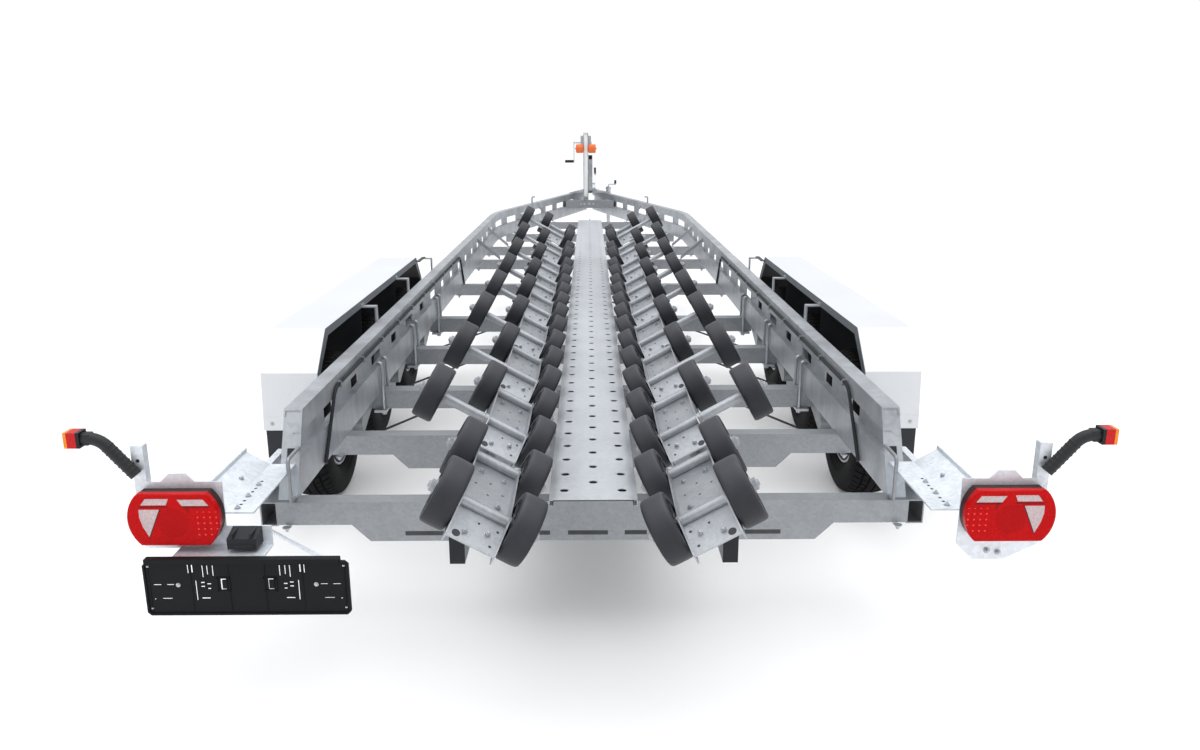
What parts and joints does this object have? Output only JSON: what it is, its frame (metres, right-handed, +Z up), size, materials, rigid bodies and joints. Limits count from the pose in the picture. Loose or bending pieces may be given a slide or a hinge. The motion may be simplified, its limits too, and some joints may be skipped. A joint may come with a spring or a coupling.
{
  "type": "boat trailer",
  "caption": "Braked multi-roller boat trailer with deep side rails, rocking roller cradles, walkway, mudguards, lamps, winch post and jockey wheel.",
  "frame": {"origin": "on the ground under the middle of the whole trailer", "axes": "+Y forward to the coupling, +X to the right seen from behind, +Z up"},
  "size_m": [2.68, 11.0199, 1.41],
  "materials": {
    "galvanised": "hot-dip galvanised, satin with faint spangle",
    "cradle_zinc": "hot-dip galvanised sheet, satin",
    "rim_zinc": "galvanised steel rim",
    "walkway_zinc": "bright galvanised sheet, satin",
    "mudguard_zinc": "near-white sheet, satin",
    "lamp_red": "red lens, glossy",
    "black_plastic": "black moulded plastic",
    "orange_roller": "orange roller rubber",
    "rubber": "dark grey rubber, matt",
    "tyre": "road tyre, matt"
  },
  "bodies": {
    "frame": {"side_rail_right": "galvanised", "side_rail_left": "galvanised", "crossmembers": "galvanised", "roller_beams": "galvanised", "axles": "galvanised", "axle_clamps": "galvanised", "mudguard_stays": "galvanised", "light_brackets": "galvanised", "board_sockets": "galvanised", "rail_fittings": "galvanised", "winch_post": "galvanised", "winch_frame": "galvanised", "coupling": "galvanised", "jockey_sleeve": "galvanised", "walkway": "walkway_zinc", "mudguard_right": "mudguard_zinc", "mudguard_left": "mudguard_zinc", "lamps": "lamp_red", "marker_lamps": "lamp_red", "marker_arms": "rubber", "plate_holder": "black_plastic", "beam_caps": "black_plastic", "plate_lamp": "black_plastic", "wiring": "black_plastic", "brake_cables": "galvanised", "bow_roller": "orange_roller"},
    "cradle_right_1": {"cradle_right_1": "cradle_zinc"},
    "cradle_right_2": {"cradle_right_2": "cradle_zinc"},
    "cradle_right_3": {"cradle_right_3": "cradle_zinc"},
    "cradle_right_4": {"cradle_right_4": "cradle_zinc"},
    "cradle_right_5": {"cradle_right_5": "cradle_zinc"},
    "cradle_right_6": {"cradle_right_6": "cradle_zinc"},
    "cradle_right_7": {"cradle_right_7": "cradle_zinc"},
    "cradle_right_8": {"cradle_right_8": "cradle_zinc"},
    "cradle_right_9": {"cradle_right_9": "cradle_zinc"},
    "wheel_right_1": {"tyre_right_1": "tyre", "rim_right_1": "rim_zinc"},
    "wheel_right_2": {"tyre_right_2": "tyre", "rim_right_2": "rim_zinc"},
    "wheel_right_3": {"tyre_right_3": "tyre", "rim_right_3": "rim_zinc"},
    "cradle_left_1": {"cradle_left_1": "cradle_zinc"},
    "cradle_left_2": {"cradle_left_2": "cradle_zinc"},
    "cradle_left_3": {"cradle_left_3": "cradle_zinc"},
    "cradle_left_4": {"cradle_left_4": "cradle_zinc"},
    "cradle_left_5": {"cradle_left_5": "cradle_zinc"},
    "cradle_left_6": {"cradle_left_6": "cradle_zinc"},
    "cradle_left_7": {"cradle_left_7": "cradle_zinc"},
    "cradle_left_8": {"cradle_left_8": "cradle_zinc"},
    "cradle_left_9": {"cradle_left_9": "cradle_zinc"},
    "wheel_left_1": {"tyre_left_1": "tyre", "rim_left_1": "rim_zinc"},
    "wheel_left_2": {"tyre_left_2": "tyre", "rim_left_2": "rim_zinc"},
    "wheel_left_3": {"tyre_left_3": "tyre", "rim_left_3": "rim_zinc"},
    "winch_drum": {"winch_drum": "galvanised"},
    "jockey_stem": {"jockey_stem": "galvanised"},
    "jockey_fork": {"jockey_fork": "galvanised"},
    "jockey_wheel": {"jockey_wheel": "rubber"}
  },
  "joints": [
    {"name": "cradle_right_1_rock", "type": "hinge", "parent": "frame", "child": "cradle_right_1", "pos_m": [0.29833, -5.237, 0.54952], "axis": [0.8746, 0, 0.4848], "range_deg": [-4, 4]},
    {"name": "cradle_right_2_rock", "type": "hinge", "parent": "frame", "child": "cradle_right_2", "pos_m": [0.29833, -4.577, 0.54952], "axis": [0.8746, 0, 0.4848], "range_deg": [-4, 4]},
    {"name": "cradle_right_3_rock", "type": "hinge", "parent": "frame", "child": "cradle_right_3", "pos_m": [0.29833, -3.917, 0.54952], "axis": [0.8746, 0, 0.4848], "range_deg": [-4, 4]},
    {"name": "cradle_right_4_rock", "type": "hinge", "parent": "frame", "child": "cradle_right_4", "pos_m": [0.29833, -3.257, 0.54952], "axis": [0.8746, 0, 0.4848], "range_deg": [-4, 4]},
    {"name": "cradle_right_5_rock", "type": "hinge", "parent": "frame", "child": "cradle_right_5", "pos_m": [0.29833, -2.597, 0.54952], "axis": [0.8746, 0, 0.4848], "range_deg": [-4, 4]},
    {"name": "cradle_right_6_rock", "type": "hinge", "parent": "frame", "child": "cradle_right_6", "pos_m": [0.29833, -1.937, 0.54952], "axis": [0.8746, 0, 0.4848], "range_deg": [-4, 4]},
    {"name": "cradle_right_7_rock", "type": "hinge", "parent": "frame", "child": "cradle_right_7", "pos_m": [0.29833, -1.277, 0.56052], "axis": [0.8746, 0, 0.4848], "range_deg": [-4, 4]},
    {"name": "cradle_right_8_rock", "type": "hinge", "parent": "frame", "child": "cradle_right_8", "pos_m": [0.29833, -0.617, 0.59352], "axis": [0.8746, 0, 0.4848], "range_deg": [-4, 4]},
    {"name": "cradle_right_9_rock", "type": "hinge", "parent": "frame", "child": "cradle_right_9", "pos_m": [0.29833, 0.043, 0.64852], "axis": [0.8746, 0, 0.4848], "range_deg": [-4, 4]},
    {"name": "wheel_right_1_spin", "type": "hinge", "parent": "frame", "child": "wheel_right_1", "pos_m": [1.1375, -3.785, 0.308], "axis": [1, 0, 0], "continuous": true},
    {"name": "wheel_right_2_spin", "type": "hinge", "parent": "frame", "child": "wheel_right_2", "pos_m": [1.1375, -3.005, 0.308], "axis": [1, 0, 0], "continuous": true},
    {"name": "wheel_right_3_spin", "type": "hinge", "parent": "frame", "child": "wheel_right_3", "pos_m": [1.1375, -2.225, 0.308], "axis": [1, 0, 0], "continuous": true},
    {"name": "cradle_left_1_rock", "type": "hinge", "parent": "frame", "child": "cradle_left_1", "pos_m": [-0.29833, -5.237, 0.54952], "axis": [0.8746, 0, -0.4848], "range_deg": [-4, 4]},
    {"name": "cradle_left_2_rock", "type": "hinge", "parent": "frame", "child": "cradle_left_2", "pos_m": [-0.29833, -4.577, 0.54952], "axis": [0.8746, 0, -0.4848], "range_deg": [-4, 4]},
    {"name": "cradle_left_3_rock", "type": "hinge", "parent": "frame", "child": "cradle_left_3", "pos_m": [-0.29833, -3.917, 0.54952], "axis": [0.8746, 0, -0.4848], "range_deg": [-4, 4]},
    {"name": "cradle_left_4_rock", "type": "hinge", "parent": "frame", "child": "cradle_left_4", "pos_m": [-0.29833, -3.257, 0.54952], "axis": [0.8746, 0, -0.4848], "range_deg": [-4, 4]},
    {"name": "cradle_left_5_rock", "type": "hinge", "parent": "frame", "child": "cradle_left_5", "pos_m": [-0.29833, -2.597, 0.54952], "axis": [0.8746, 0, -0.4848], "range_deg": [-4, 4]},
    {"name": "cradle_left_6_rock", "type": "hinge", "parent": "frame", "child": "cradle_left_6", "pos_m": [-0.29833, -1.937, 0.54952], "axis": [0.8746, 0, -0.4848], "range_deg": [-4, 4]},
    {"name": "cradle_left_7_rock", "type": "hinge", "parent": "frame", "child": "cradle_left_7", "pos_m": [-0.29833, -1.277, 0.56052], "axis": [0.8746, 0, -0.4848], "range_deg": [-4, 4]},
    {"name": "cradle_left_8_rock", "type": "hinge", "parent": "frame", "child": "cradle_left_8", "pos_m": [-0.29833, -0.617, 0.59352], "axis": [0.8746, 0, -0.4848], "range_deg": [-4, 4]},
    {"name": "cradle_left_9_rock", "type": "hinge", "parent": "frame", "child": "cradle_left_9", "pos_m": [-0.29833, 0.043, 0.64852], "axis": [0.8746, 0, -0.4848], "range_deg": [-4, 4]},
    {"name": "wheel_left_1_spin", "type": "hinge", "parent": "frame", "child": "wheel_left_1", "pos_m": [-1.1375, -3.785, 0.308], "axis": [1, 0, 0], "continuous": true},
    {"name": "wheel_left_2_spin", "type": "hinge", "parent": "frame", "child": "wheel_left_2", "pos_m": [-1.1375, -3.005, 0.308], "axis": [1, 0, 0], "continuous": true},
    {"name": "wheel_left_3_spin", "type": "hinge", "parent": "frame", "child": "wheel_left_3", "pos_m": [-1.1375, -2.225, 0.308], "axis": [1, 0, 0], "continuous": true},
    {"name": "winch_turn", "type": "hinge", "parent": "frame", "child": "winch_drum", "pos_m": [-0.046, 4.404, 1.29], "axis": [1, 0, 0], "continuous": true},
    {"name": "jockey_lift", "type": "slide", "parent": "frame", "child": "jockey_stem", "axis": [0, 0, 1], "range_m": [0, 0.18]},
    {"name": "jockey_swivel", "type": "hinge", "parent": "jockey_stem", "child": "jockey_fork", "pos_m": [0.24305, 4.87, 0.215], "axis": [0, 0, 1], "continuous": true},
    {"name": "jockey_spin", "type": "hinge", "parent": "jockey_fork", "child": "jockey_wheel", "pos_m": [0.24305, 4.822, 0.1], "axis": [1, 0, 0], "continuous": true}
  ]
}
